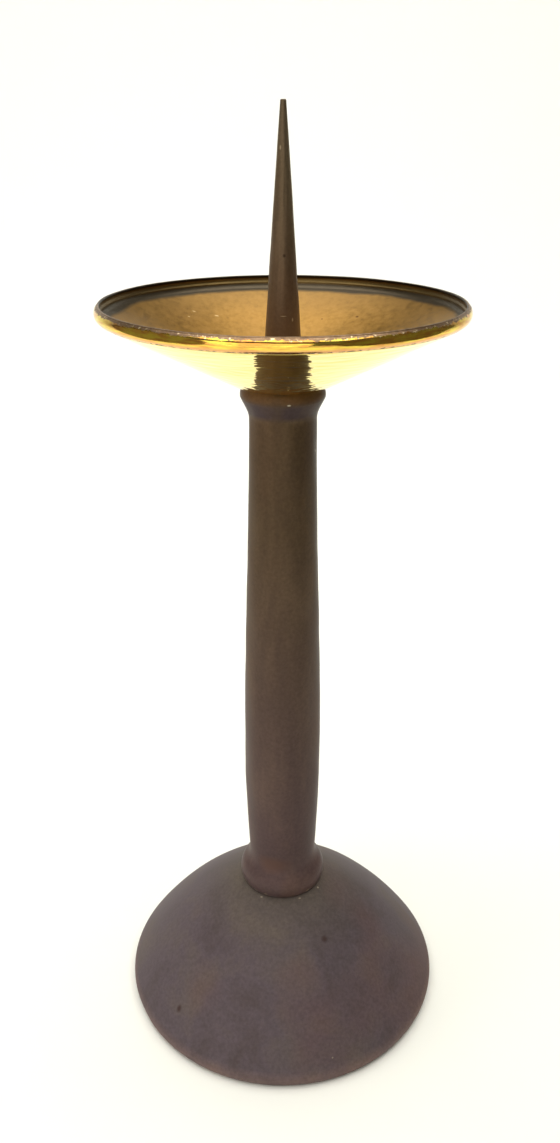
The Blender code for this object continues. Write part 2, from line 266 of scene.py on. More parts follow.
def brownedBronze(name, look):
    # Cast and spun bronze, chemically browned and waxed: a thin oxide skin hides most of the
    # metal, so the eye gets soft brown mottling and a dull sheen, with bands by height laid over
    # the colour, among them painted highlight and painted shade
    material, tree, where = newMaterial(name)
    height = axisFields(tree, where)[2]
    drawn = addNode(tree, "ShaderNodeMapping", {"Vector": where, "Scale": look["stretch"]})
    cloud = addNode(tree, "ShaderNodeTexNoise", {"Vector": drawn, "Scale": 0.5 / look["cloud"], "Detail": 4.0,
                                                 "Roughness": 0.6, "Distortion": 0.4})
    warm = addNode(tree, "ShaderNodeTexNoise", {"Vector": drawn, "Scale": 0.5 / look["warmSize"],
                                                "Detail": 2.0})
    grain = addNode(tree, "ShaderNodeTexNoise", {"Vector": where, "Scale": 0.5 / look["grain"], "Detail": 5.0,
                                                 "Roughness": 0.65})
    lowTone = addNode(tree, "ShaderNodeValToRGB", {0: cloud}, ramp=look["tones"])
    highTone = addNode(tree, "ShaderNodeValToRGB", {0: cloud}, ramp=look["highTones"])
    climb = addNode(tree, "ShaderNodeMapRange", {0: height, 1: look["blendFrom"], 2: look["blendTo"]})
    warmMask = addNode(tree, "ShaderNodeMapRange", {0: warm, 1: 0.50, 2: 0.70, 4: look["warmAmount"]})
    colour = coated(tree, lowTone, [(climb, highTone), (warmMask, look["warmColour"])])
    ragged = addNode(tree, "ShaderNodeMapRange", {0: cloud, 1: 0.30, 2: 0.58, 3: 0.25})
    # bands by height, ragged by the cloud: the dome's and the column's are painted highlight and painted
    # shade
    for low, high, tint, amount in look["bands"]:
        band = heightBand(tree, height, low, high, look["bandSoft"], amount)
        band = addNode(tree, "ShaderNodeMath", {0: band, 1: ragged}, operation="MULTIPLY")
        colour = coated(tree, colour, [(band, tint)])
    speckle = addNode(tree, "ShaderNodeMapRange", {0: grain, 1: 0.35, 2: 0.65, 3: 1 - look["grainTone"],
                                                   4: 1 + look["grainTone"]})
    colour = addNode(tree, "ShaderNodeVectorMath", {0: colour, "Scale": speckle}, operation="SCALE")
    colour = coated(tree, colour, spotCoats(tree, where, look))
    dull = addNode(tree, "ShaderNodeMapRange", {0: grain, 1: 0.3, 2: 0.7, 3: look["roughness"] - 0.05,
                                                4: look["roughness"] + 0.05})
    patch = addNode(tree, "ShaderNodeMapRange", {0: cloud, 1: 0.3, 2: 0.7, 3: -0.06, 4: 0.06})
    dull = addNode(tree, "ShaderNodeMath", {0: dull, 1: patch}, operation="ADD")
    fine = addNode(tree, "ShaderNodeBump", {"Height": grain, "Distance": look["grainDepth"]})
    normal = addNode(tree, "ShaderNodeBump", {"Height": cloud, "Distance": look["cloudDepth"],
                                              "Normal": fine})
    surface = addNode(tree, "ShaderNodeBsdfPrincipled", {
        "Base Color": colour, "Roughness": dull, "Metallic": look["metallic"], "Normal": normal,
        "Specular IOR Level": look["specular"], "Specular Tint": look["sheenTint"]})
    addNode(tree, "ShaderNodeOutputMaterial", {"Surface": surface})
    return material


def dulledBrass(name, look):
    # Spun brass gone dull under wax and polish: warm gold with fine mottling and small bright
    # scratches, painted shade that darkens the floor towards the wall and turns greyish brown in the
    # corner at the foot of the wall, browned above it, dark at the lip
    material, tree, where = newMaterial(name)
    away, height = axisFields(tree, where)[1:]
    mottle = addNode(tree, "ShaderNodeTexNoise", {"Vector": where, "Scale": 0.5 / look["mottle"],
                                                  "Detail": 5.0, "Roughness": 0.62})
    broad = addNode(tree, "ShaderNodeTexNoise", {"Vector": where, "Scale": 0.5 / look["broad"],
                                                 "Detail": 3.0})
    colour = addNode(tree, "ShaderNodeValToRGB", {0: mottle}, ramp=look["tones"])
    patch = addNode(tree, "ShaderNodeMapRange", {0: broad, 1: 0.35, 2: 0.75, 4: 0.4})
    stray = addNode(tree, "ShaderNodeMapRange", {0: broad, 1: 0.3, 2: 0.7, 3: -look["stray"],
                                                 4: look["stray"]})
    edge = addNode(tree, "ShaderNodeMath", {0: away, 1: stray}, operation="ADD")
    # painted shade: the floor turns darker and greyer towards the wall
    floorShade = addNode(tree, "ShaderNodeMapRange", {0: edge, 1: look["floorShadeFrom"], 2: look["floorShadeTo"],
                                               4: look["floorShadeAmount"]})
    # painted shade: greyish brown in the corner at the foot of the wall
    corner = addNode(tree, "ShaderNodeMapRange", {0: edge, 1: look["cornerShadeFrom"], 2: look["cornerShadeTo"]})
    wallTone = addNode(tree, "ShaderNodeValToRGB", {0: broad}, ramp=look["wallTones"])
    wall = addNode(tree, "ShaderNodeMapRange", {0: height, 1: look["wallFrom"], 2: look["wallTo"]})
    lip = addNode(tree, "ShaderNodeMapRange", {0: height, 1: look["lipFrom"], 2: look["lipTo"]})
    coats = [(patch, look["broadColour"]), (floorShade, look["floorShadeColour"]), (corner, look["cornerShadeColour"]),
             (wall, wallTone), (lip, look["lipColour"])]
    colour = coated(tree, colour, coats + spotCoats(tree, where, look))
    dull = addNode(tree, "ShaderNodeMapRange", {0: mottle, 1: 0.3, 2: 0.7, 3: look["roughness"] - 0.06,
                                                4: look["roughness"] + 0.06})
    normal = addNode(tree, "ShaderNodeBump", {"Height": mottle, "Distance": look["mottleDepth"]})
    surface = addNode(tree, "ShaderNodeBsdfPrincipled", {"Base Color": colour, "Roughness": dull,
                                                         "Metallic": look["metallic"], "Normal": normal})
    addNode(tree, "ShaderNodeOutputMaterial", {"Surface": surface})
    return material


def polishedBrass(name, look):
    # Spun brass brought to a mirror: sharp warm reflections, broken up by the short ridges
    # that the spinning tool leaves round the axis
    material, tree, where = newMaterial(name)
    flat, away, height = axisFields(tree, where)
    cloud = addNode(tree, "ShaderNodeTexNoise", {"Vector": where, "Scale": 0.5 / look["cloud"],
                                                 "Detail": 3.0})
    # tool ridges: noise over the direction outwards, and over distance plus height
    outward = addNode(tree, "ShaderNodeVectorMath", {0: flat}, operation="NORMALIZE")
    turns = addNode(tree, "ShaderNodeVectorMath",
                    {0: outward, "Scale": look["radius"] / look["ridgeLength"]}, operation="SCALE")
    profile = addNode(tree, "ShaderNodeMath", {0: away, 1: height}, operation="ADD")
    profile = addNode(tree, "ShaderNodeMath", {0: profile, 1: 1.0 / look["ridgePitch"]}, operation="MULTIPLY")
    lift = addNode(tree, "ShaderNodeCombineXYZ", {2: profile})
    ridgePlace = addNode(tree, "ShaderNodeVectorMath", {0: turns, 1: lift}, operation="ADD")
    ridges = addNode(tree, "ShaderNodeTexNoise", {"Vector": ridgePlace, "Scale": 1.0,
                                                  "Detail": look["ridgeDetail"], "Roughness": 0.6})
    colour = addNode(tree, "ShaderNodeValToRGB", {0: ridges}, ramp=look["tones"])
    gloss = addNode(tree, "ShaderNodeMapRange", {0: cloud, 1: 0.3, 2: 0.7, 3: look["roughness"] - 0.015,
                                                 4: look["roughness"] + 0.015})
    if "edge" in look:
        # the browned skin is left at the lip and has worn off the round below it; the dark line in the crease
        # is painted shade
        edge = look["edge"]
        rag = addNode(tree, "ShaderNodeTexNoise", {"Vector": where, "Scale": 0.5 / edge["size"],
                                                   "Detail": 4.0, "Roughness": 0.7})
        wander = addNode(tree, "ShaderNodeMapRange", {0: rag, 1: 0.3, 2: 0.7, 3: -edge["reach"],
                                                      4: edge["reach"]})
        border = addNode(tree, "ShaderNodeMath", {0: height, 1: wander}, operation="ADD")
        skin = addNode(tree, "ShaderNodeMapRange", {0: border, 1: edge["from"],
                                                    2: edge["from"] + edge["soft"]})
        skinTone = addNode(tree, "ShaderNodeValToRGB", {0: rag}, ramp=edge["tones"])
        # bright flecks where the skin has chipped through
        fleck = addNode(tree, "ShaderNodeTexNoise", {"Vector": where, "Scale": 0.5 / edge["fleck"],
                                                     "Detail": 2.0})
        fleck = addNode(tree, "ShaderNodeMapRange", {0: fleck, 1: 0.60, 2: 0.68})
        onSkin = heightBand(tree, height, edge["from"], edge["from"] + edge["fleckHeight"],
                            edge["fleckSoft"], 0.8)
        fleck = addNode(tree, "ShaderNodeMath", {0: fleck, 1: onSkin}, operation="MULTIPLY")
        copper = addNode(tree, "ShaderNodeMapRange", {0: height, 1: edge["copperTop"] + edge["copperSoft"],
                                                      2: edge["copperTop"], 4: edge["copperAmount"]})
        # painted shade: a dark line in the crease under the band
        creaseShade = addNode(tree, "ShaderNodeMapRange", {0: border, 1: edge["creaseTop"],
                                                     2: edge["creaseTop"] - edge["soft"]})
        colour = coated(tree, colour, [(skin, skinTone), (fleck, edge["fleckColour"]),
                                       (copper, edge["copperColour"]), (creaseShade, edge["creaseShadeColour"])])
        # both the browned skin and the painted crease shade are dull
        skinAndCreaseShade = addNode(tree, "ShaderNodeMath", {0: skin, 1: creaseShade}, operation="MAXIMUM")
        gloss = addNode(tree, "ShaderNodeMix", {0: skinAndCreaseShade, 2: gloss, 3: edge["roughness"]},
                        data_type="FLOAT")
    colour = coated(tree, colour, spotCoats(tree, where, look))
    normal = addNode(tree, "ShaderNodeBump", {"Height": ridges, "Distance": look["ridgeDepth"]})
    surface = addNode(tree, "ShaderNodeBsdfPrincipled", {"Base Color": colour, "Roughness": gloss,
                                                         "Metallic": 1.0, "Normal": normal})
    addNode(tree, "ShaderNodeOutputMaterial", {"Surface": surface})
    return material


def workshopMetal(name, look):
    # Hidden working metal, turned brass or zinc-plated steel: dull, blotchy, with the fine
    # rings of the lathe
    material, tree, where = newMaterial(name)
    away, height = axisFields(tree, where)[1:]
    cloud = addNode(tree, "ShaderNodeTexNoise", {"Vector": where, "Scale": 0.5 / look["cloud"],
                                                 "Detail": 4.0})
    colour = addNode(tree, "ShaderNodeValToRGB", {0: cloud}, ramp=look["tones"])
    across = addNode(tree, "ShaderNodeMath", {0: away, 1: height}, operation="ADD")
    across = addNode(tree, "ShaderNodeMath", {0: across, 1: 1.0 / look["ringPitch"]}, operation="MULTIPLY")
    ringPlace = addNode(tree, "ShaderNodeCombineXYZ", {0: across})
    rings = addNode(tree, "ShaderNodeTexNoise", {"Vector": ringPlace, "Scale": 1.0, "Detail": 2.0})
    dull = addNode(tree, "ShaderNodeMapRange", {0: cloud, 1: 0.3, 2: 0.7, 3: look["roughness"] - 0.07,
                                                4: look["roughness"] + 0.07})
    normal = addNode(tree, "ShaderNodeBump", {"Height": rings, "Distance": look["ringDepth"]})
    surface = addNode(tree, "ShaderNodeBsdfPrincipled", {"Base Color": colour, "Roughness": dull,
                                                         "Metallic": 1.0, "Normal": normal})
    addNode(tree, "ShaderNodeOutputMaterial", {"Surface": surface})
    return material


def dullSheet(name, hexColour, roughness):
    # Paper or felt: one even tone with no sheen, so that the eye rests on the metal
    material, tree = newMaterial(name)[:2]
    surface = addNode(tree, "ShaderNodeBsdfPrincipled", {"Base Color": hexColour, "Roughness": roughness,
                                                         "Specular IOR Level": 0.0})
    addNode(tree, "ShaderNodeOutputMaterial", {"Surface": surface})
    return material


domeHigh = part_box("base_dome")[1]
domeShape = {
    "crownRadius": 22.5 * mm,      # flat top under the column
    "shoulderRadius": 88.9 * mm,   # where the rounded shoulder meets the long arc
    "shoulderHeight": 8.3 * mm,
    "edgeInset": 1.4 * mm,
    "bulge": 5.5 * mm,
    "wall": 1.6 * mm,
    "footLand": 2.2 * mm,
    "rodHole": 4.3 * mm,
    "underFlat": 12 * mm,          # flat ring round the hole, on the underside
    "steps": 320,
    "waveSize": 26 * mm,           # broad unevenness left by the spinning tool
    "waveDepth": 0.05 * mm,
    "waveInner": (26 * mm, 14 * mm), "waveFoot": (6 * mm, 8 * mm), "dentFoot": (0.0, 3 * mm),
    "dents": [(-63, 9 * mm, 9 * mm, 0.35 * mm), (-50, 24 * mm, 7 * mm, 0.18 * mm),
              (58, 14 * mm, 8 * mm, 0.15 * mm), (24, 7 * mm, 1.2 * mm, 0.25 * mm)],
}
domeLook = {
    "cloud": 16 * mm, "stretch": (1, 1, 1), "grain": 0.9 * mm,
    "tones": [(0.30, "#4f4546"), (0.50, "#594f54"), (0.70, "#5f5553")],
    "highTones": [(0.30, "#4f4841"), (0.50, "#5a524a"), (0.70, "#635a50")],
    "blendFrom": 50 * mm, "blendTo": 76 * mm,
    "warmSize": 30 * mm, "warmAmount": 0.45, "warmColour": "#654b48",
    # painted highlight: a paler reddish band along the bottom 5 mm, where the rounded edge turns down
    "bands": [(0.0, 5 * mm, "#7c6660", 0.8)], "bandSoft": 5 * mm,
    "grainTone": 0.12, "grainDepth": 0.06 * mm, "cloudDepth": 0.15 * mm,
    "roughness": 0.56, "metallic": 0.08, "specular": 0.15, "sheenTint": "#b8b0ac",
    "spots": [
        # dark knocks: a reddish one half-way down, and a smudge low on the side
        ([(44.8, 54.7, 31.5, 1.9, 1.9, 1.7), (79.8, 19.9, -46, 1.6, 1.6, 3.0)], "#473938"),
        # one bright knock low down, and wax residue round the foot of the column
        ([(86.0, 13.5, 18.5, 0.6, 0.6, 0.6), (24.4, 69.2, 58, 0.6, 0.6, 0.5),
          (24.2, 69.3, 25, 1.0, 0.5, 0.3), (24.3, 69.3, -30, 1.0, 0.5, 0.3)], "#a39480")],
}


def buildDome():
    size = domeShape
    top = domeHigh[2]
    shoulder = np.array([size["shoulderRadius"], size["shoulderHeight"]])
    crown = np.array([size["crownRadius"], top])
    half = np.linalg.norm(crown - shoulder) / 2
    sideRadius = (half ** 2 + size["bulge"] ** 2) / (2 * size["bulge"])
    outward = np.array([crown[1] - shoulder[1], shoulder[0] - crown[0]]) / (2 * half)
    sideCentre = (crown + shoulder) / 2 - outward * (sideRadius - size["bulge"])
    normal = (shoulder - sideCentre) / sideRadius
    reach = np.array([-size["edgeInset"], -size["shoulderHeight"]])
    roundRadius = -(reach @ reach) / (2 * (reach @ normal))
    roundCentre = shoulder - roundRadius * normal
    joint = math.atan2(normal[1], normal[0])
    crownAngle = math.atan2(top - sideCentre[1], size["crownRadius"] - sideCentre[0])
    edgeRadius = size["shoulderRadius"] - size["edgeInset"]
    edgeAngle = math.atan2(-roundCentre[1], edgeRadius - roundCentre[0])
    innerSide = sideRadius - size["wall"]
    innerRound = roundRadius - size["wall"]
    under = top - size["wall"]
    innerCrown = math.asin((under - sideCentre[1]) / innerSide)
    innerEdge = -math.acos((edgeRadius - size["footLand"] - roundCentre[0]) / innerRound)
    profile = joinRuns(
        straightPoints((size["rodHole"], top), crown, 6),
        circlePoints(sideCentre, sideRadius, crownAngle, joint, 80),
        circlePoints(roundCentre, roundRadius, joint, edgeAngle, 24),
        straightPoints((edgeRadius, 0.0), (edgeRadius - size["footLand"], 0.0), 3),
        circlePoints(roundCentre, innerRound, innerEdge, joint, 10),
        circlePoints(sideCentre, innerSide, joint, innerCrown, 30),
        straightPoints((size["rodHole"] + size["underFlat"], under), (size["rodHole"], under), 4))

    def push(angle, points):
        fade = fadeIn(points[:, 0], *size["waveInner"]) * fadeIn(points[:, 1], *size["waveFoot"])
        wave = handRipple(angle, points, size["waveSize"], size["waveDepth"], 11) * fade[None, :]
        return wave + knocks(angle, points, size["dents"]) * fadeIn(points[:, 1], *size["dentFoot"])[None, :]

    piece = turnedPiece("baseDome", profile, size["steps"], push)
    standIn(piece, brownedBronze("brownedBronzeMatt", domeLook), "base_dome", "stand")


columnLow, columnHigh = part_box("column")
columnShape = {
    "contactRadius": 22.5 * mm, "beadRadius": 24.0 * mm, "beadHeight": 5.5 * mm, "beadTop": 12.7 * mm,
    "neckRadius": 18.7 * mm, "neckHeight": 21.0 * mm,
    "bellyRadius": 20.5 * mm, "bellyHeight": 80.0 * mm,
    "collarNeck": 16.1 * mm, "flare": 16.0 * mm, "collarRadius": 20.2 * mm, "roll": 4.4 * mm,
    "edge": 1.0 * mm, "flareSlope": 0.45, "landRadius": 17.0 * mm,
    "taperSlope": -0.0113, "neckSlope": 0.048,
    "wall": 2.0 * mm, "socketRadius": 16.9 * mm, "socketDepth": 13.0 * mm,
    "spigotHole": 12.3 * mm, "seatHole": 14.6 * mm, "seatDepth": 2.8 * mm, "spigotDepth": 12.3 * mm,
    "steps": 256, "waveSize": 34 * mm, "waveDepth": 0.06 * mm,
    "waveFoot": (10 * mm, 12 * mm), "waveTop": (6 * mm, 8 * mm),
    "dents": [(74, 329 * mm, 1.3 * mm, 0.35 * mm), (-80, 150 * mm, 5 * mm, 0.15 * mm),
              (8, 354.8 * mm, 0.8 * mm, 0.20 * mm)],
}
columnLook = {
    "cloud": 13 * mm, "stretch": (1.4, 1.4, 0.35), "grain": 0.8 * mm,
    "tones": [(0.30, "#534444"), (0.50, "#574746"), (0.70, "#61504b")],
    "highTones": [(0.30, "#4d3f32"), (0.50, "#574737"), (0.70, "#61503e")],
    "blendFrom": 110 * mm, "blendTo": 290 * mm,
    "warmSize": 30 * mm, "warmAmount": 0.4, "warmColour": "#614237",
    # painted highlight on the top roll of the collar, and painted shade on the flare just under the roll
    "bands": [(356.5 * mm, 362 * mm, "#654b34", 0.8), (348 * mm, 353 * mm, "#42373a", 0.9)],
    "bandSoft": 2.5 * mm,
    "grainTone": 0.10, "grainDepth": 0.05 * mm, "cloudDepth": 0.12 * mm,
    "roughness": 0.42, "metallic": 0.15, "specular": 0.12, "sheenTint": "#8a8278",
    "spots": [
        # bright chips on the collar and high on one side, wax on the foot, a warm patch on the neck
        ([(20.2, 354.8, 8, 0.8, 0.8, 0.35), (16.4, 329, 74, 0.5, 0.5, 0.8)], "#bdb3a0"),
        ([(22.8, 72.0, 38, 1.6, 1.2, 0.4), (22.8, 71.8, -24, 1.4, 1.0, 0.35)], "#9a8a74"),
        ([(19.8, 90.0, -20, 11.0, 6.0, 5.0)], "#5b4640")],
}


def buildColumn():
    size = columnShape
    foot = columnLow[2]
    top = columnHigh[2]
    rollStart = top - size["roll"]
    flareStart = top - size["flare"]
    neck = foot + size["neckHeight"]
    belly = foot + size["bellyHeight"]
    turn = np.linspace(0, np.pi / 2, 14)
    rollDepth = size["collarRadius"] - size["landRadius"]
    roll = np.stack([size["landRadius"] + rollDepth * np.sin(turn),
                     rollStart + size["roll"] * np.cos(turn)], axis=1)
    flare = easedPoints((size["collarRadius"], rollStart - size["edge"]), size["flareSlope"],
                        (size["collarNeck"], flareStart), 0.0, 18)
    taper = easedPoints((size["collarNeck"], flareStart), size["taperSlope"],
                        (size["bellyRadius"], belly), 0.0, 70)
    swell = easedPoints((size["bellyRadius"], belly), 0.0, (size["neckRadius"], neck), size["neckSlope"], 24)
    drop = size["beadRadius"] - size["contactRadius"]
    curve = (size["beadHeight"] ** 2 + drop ** 2) / (2 * drop)
    beadCentre = (size["beadRadius"] - curve, foot + size["beadHeight"])
    beadStart = math.asin((size["beadTop"] - size["beadHeight"]) / curve)
    bead = circlePoints(beadCentre, curve, beadStart, -math.asin(size["beadHeight"] / curve), 22)
    hollow = easedPoints((size["neckRadius"], neck), 0.0, bead[0], -math.tan(beadStart), 10)
    bore = np.vstack([swell[::-4], taper[::-6]]) - np.array([[size["wall"], 0.0]])
    profile = joinRuns(
        straightPoints((size["seatHole"], top), (size["landRadius"], top), 3), roll, flare, taper, swell,
        hollow, bead, straightPoints(bead[-1], (size["socketRadius"], foot), 3),
        (size["socketRadius"], foot + size["socketDepth"]), bore,
        (size["spigotHole"], top - size["spigotDepth"]), (size["spigotHole"], top - size["seatDepth"]),
        (size["seatHole"], top - size["seatDepth"]))
    insideCount = len(bore) + 5    # the bore, and the corners of the socket and the seat

    def push(angle, points):
        clear = fadeIn(points[:, 1] - foot, *size["waveFoot"]) * fadeIn(top - points[:, 1], *size["waveTop"])
        outside = np.arange(len(points)) < len(points) - insideCount
        wave = handRipple(angle, points, size["waveSize"], size["waveDepth"], 5) * clear[None, :]
        return (wave + knocks(angle, points, size["dents"])) * outside[None, :]

    piece = turnedPiece("column", profile, size["steps"], push)
    standIn(piece, brownedBronze("brownedBronzeWaxed", columnLook), "column", "stand")


spikeLow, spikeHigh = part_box("pricket_spike")
spikeShape = {
    "rootRadius": spikeHigh[0], "tipRadius": 1.3 * mm, "tipRound": 0.52 * mm, "bulge": 0.12 * mm,
    "boreRadius": 4.3 * mm, "boreDepth": 21.3 * mm, "boreCone": 2.5 * mm,
    "steps": 160, "waveSize": 24 * mm, "waveDepth": 0.035 * mm,
    "waveTip": (1.4 * mm, 3 * mm), "waveFoot": (4 * mm, 6 * mm),
    "dents": [(-25, 461.5 * mm, 1.0 * mm, 0.30 * mm), (5, 418 * mm, 1.4 * mm, 0.10 * mm)],
}
spikeLook = {
    "cloud": 9 * mm, "stretch": (1.6, 1.6, 0.35), "grain": 0.7 * mm,
    "tones": [(0.30, "#55473a"), (0.50, "#605040"), (0.70, "#6a5846")],
    "highTones": [(0.30, "#54493a"), (0.50, "#5e5240"), (0.70, "#6a5d4a")],
    "blendFrom": 380 * mm, "blendTo": 460 * mm,
    "warmSize": 20 * mm, "warmAmount": 0.3, "warmColour": "#64483a",
    "bands": [(358 * mm, 365 * mm, "#624c3a", 0.5)], "bandSoft": 4 * mm,
    "grainTone": 0.10, "grainDepth": 0.05 * mm, "cloudDepth": 0.10 * mm,
    "roughness": 0.42, "metallic": 0.3, "specular": 0.4, "sheenTint": "#e6cfb0",
    "spots": [
        ([(2.6, 461.5, -28, 0.35, 0.8, 0.9), (7.9, 392.3, 2, 1.5, 1.5, 0.16),
          (8.0, 390.6, 33, 0.4, 0.8, 0.9)], "#9c8c74"),
        ([(5.8, 418, 5, 0.6, 0.9, 0.7)], "#35291f")],
}


def buildSpike():
    size = spikeShape
    foot = spikeLow[2]
    top = spikeHigh[2]
    tip = circlePoints((size["tipRadius"] - size["tipRound"], top - size["tipRound"]), size["tipRound"],
                       math.radians(90), math.radians(4), 8)
    side = bulgedPoints(tip[-1], (size["rootRadius"], foot), size["bulge"], 80)
    boreTop = foot + size["boreDepth"]
    profile = joinRuns((0.0, top), tip, side, (size["boreRadius"], foot), (size["boreRadius"], boreTop),
                       (0.0, boreTop + size["boreCone"]))

    def push(angle, points):
        clear = fadeIn(points[:, 0], *size["waveTip"]) * fadeIn(points[:, 1] - foot, *size["waveFoot"])
        # the last three points are the bore
        outside = (np.arange(len(points)) < len(points) - 3) & (points[:, 0] > 0)
        wave = handRipple(angle, points, size["waveSize"], size["waveDepth"], 3) * clear[None, :]
        return (wave + knocks(angle, points, size["dents"])) * outside[None, :]

    piece = turnedPiece("pricketSpike", profile, size["steps"], push, section=False)
    standIn(piece, brownedBronze("brownedBronzeSpike", spikeLook), "pricket_spike", "stand")


panLow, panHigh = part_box("drip_pan")
panShape = {
    "sheet": 1.25 * mm, "bandRadius": 82.5 * mm, "rise": 31.1 * mm, "bandHeight": 6.6 * mm,
    "lipRadius": 83.1 * mm, "bandBulge": 1.75 * mm, "lipRound": 0.5 * mm, "flatRadius": 20.5 * mm,
    "floorAngle": math.radians(27.5), "cornerRadius": 3.2 * mm, "wallHollow": 0.8 * mm,
    "hole": 10.35 * mm, "creaseDepth": 0.15 * mm, "creaseWidth": 0.9 * mm, "steps": 384,
    "waveSize": 30 * mm, "waveDepth": 0.05 * mm, "waveInner": (26 * mm, 20 * mm),
    "dents": [(-88, 393.5 * mm, 1.0 * mm, 0.15 * mm), (-12, 396.5 * mm, 2.5 * mm, 0.10 * mm),
              (31, 396.8 * mm, 2.0 * mm, 0.08 * mm)],
}
panCrease = panLow[2] + panShape["rise"]
panLip = panCrease + panShape["bandHeight"]
panFloorLook = {
    "mottle": 1.6 * mm, "broad": 20 * mm, "stray": 1.2 * mm,
    "tones": [(0.28, "#8f6c34"), (0.50, "#a8803f"), (0.72, "#b58c4c")],
    "broadColour": "#9a7440",
    # painted shade towards the wall and in the corner at its foot
    "floorShadeFrom": 58 * mm, "floorShadeTo": 80 * mm, "floorShadeAmount": 0.35, "floorShadeColour": "#8f7650",
    "cornerShadeFrom": 77.6 * mm, "cornerShadeTo": 79.6 * mm, "cornerShadeColour": "#544b3d",
    "wallFrom": panLip - 4.6 * mm, "wallTo": panLip - 3.6 * mm,
    "wallTones": [(0.3, "#5e4e30"), (0.7, "#735f38")],
    "lipFrom": panLip - 1.7 * mm, "lipTo": panLip - 0.9 * mm, "lipColour": "#3a3024",
    "mottleDepth": 0.05 * mm, "roughness": 0.42, "metallic": 0.9,
    "spots": [
        # short scratches at the back left, and dark specks at the back right
        ([(67, 384.7, -138, 1.1, 0.4, 0.4), (62, 382.1, -147, 1.4, 0.4, 0.4),
          (64, 383.2, -133, 0.8, 0.3, 0.3)], "#dcc28c"),
        ([(62, 382.1, 143, 0.8, 0.8, 0.5), (58, 380.1, 160, 0.5, 0.5, 0.4)], "#6c4a28")],
}
panBandLook = {
    "cloud": 12 * mm, "tones": [(0.38, "#e4a452"), (0.60, "#f9dc5c")],
    "radius": panHigh[0], "ridgeLength": 9 * mm, "ridgePitch": 1.1 * mm, "ridgeDepth": 0.05 * mm,
    "ridgeDetail": 3.0, "roughness": 0.10,
    "edge": {
        "size": 1.4 * mm, "reach": 0.7 * mm, "from": panLip - 1.5 * mm, "soft": 0.4 * mm,
        "tones": [(0.3, "#6a5544"), (0.7, "#9a7e62")],
        "fleck": 0.8 * mm, "fleckHeight": 0.8 * mm, "fleckSoft": 0.5 * mm, "fleckColour": "#f0dcb4",
        # the crease colour is painted shade in the crease under the band
        "creaseTop": panCrease + 0.45 * mm, "creaseShadeColour": "#5a4638", "copperTop": panCrease + 1.2 * mm,
        "copperSoft": 0.8 * mm, "copperAmount": 0.7, "copperColour": "#e3a578", "roughness": 0.42},
    "spots": [([(84, 393.4, -86, 0.5, 0.6, 0.5), (84, 392.6, -80, 0.5, 0.6, 0.4)], "#4a3a20")],
}
panUnderLook = {
    "cloud": 30 * mm, "tones": [(0.3, "#f6da74"), (0.7, "#f9e07c")],
    "radius": 50 * mm, "ridgeLength": 8 * mm, "ridgePitch": 4.5 * mm, "ridgeDepth": 0.32 * mm,
    "ridgeDetail": 0.5, "roughness": 0.04,
    "spots": [([(48, 373.4, 50, 0.9, 0.9, 0.5), (34, 366.1, 52, 1.6, 1.0, 0.6)], "#5a4a22")],
}


